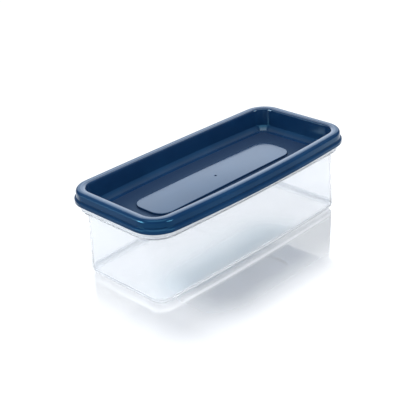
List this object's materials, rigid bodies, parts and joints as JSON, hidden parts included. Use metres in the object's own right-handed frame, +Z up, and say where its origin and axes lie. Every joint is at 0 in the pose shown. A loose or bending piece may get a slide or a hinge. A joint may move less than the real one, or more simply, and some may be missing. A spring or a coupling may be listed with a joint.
{
  "type": "food storage container",
  "caption": "Long narrow food storage box: a clear drafted plastic tub with a stepped collar and a deep navy press-on lid whose sunk panel carries a raised pad.",
  "frame": {"origin": "centre of the box in plan, in the plane that the tub stands on", "axes": "+X along the box, +Y across it, +Z up through the lid"},
  "size_m": [0.25, 0.1176, 0.0816],
  "materials": {
    "clear_plastic": "clear, slightly milky polypropylene with a smooth moulded gloss",
    "navy_plastic": "navy blue polypropylene, opaque, smooth semi-gloss"
  },
  "bodies": {
    "root": {"tub": "clear_plastic", "lid": "navy_plastic"}
  },
  "joints": []
}
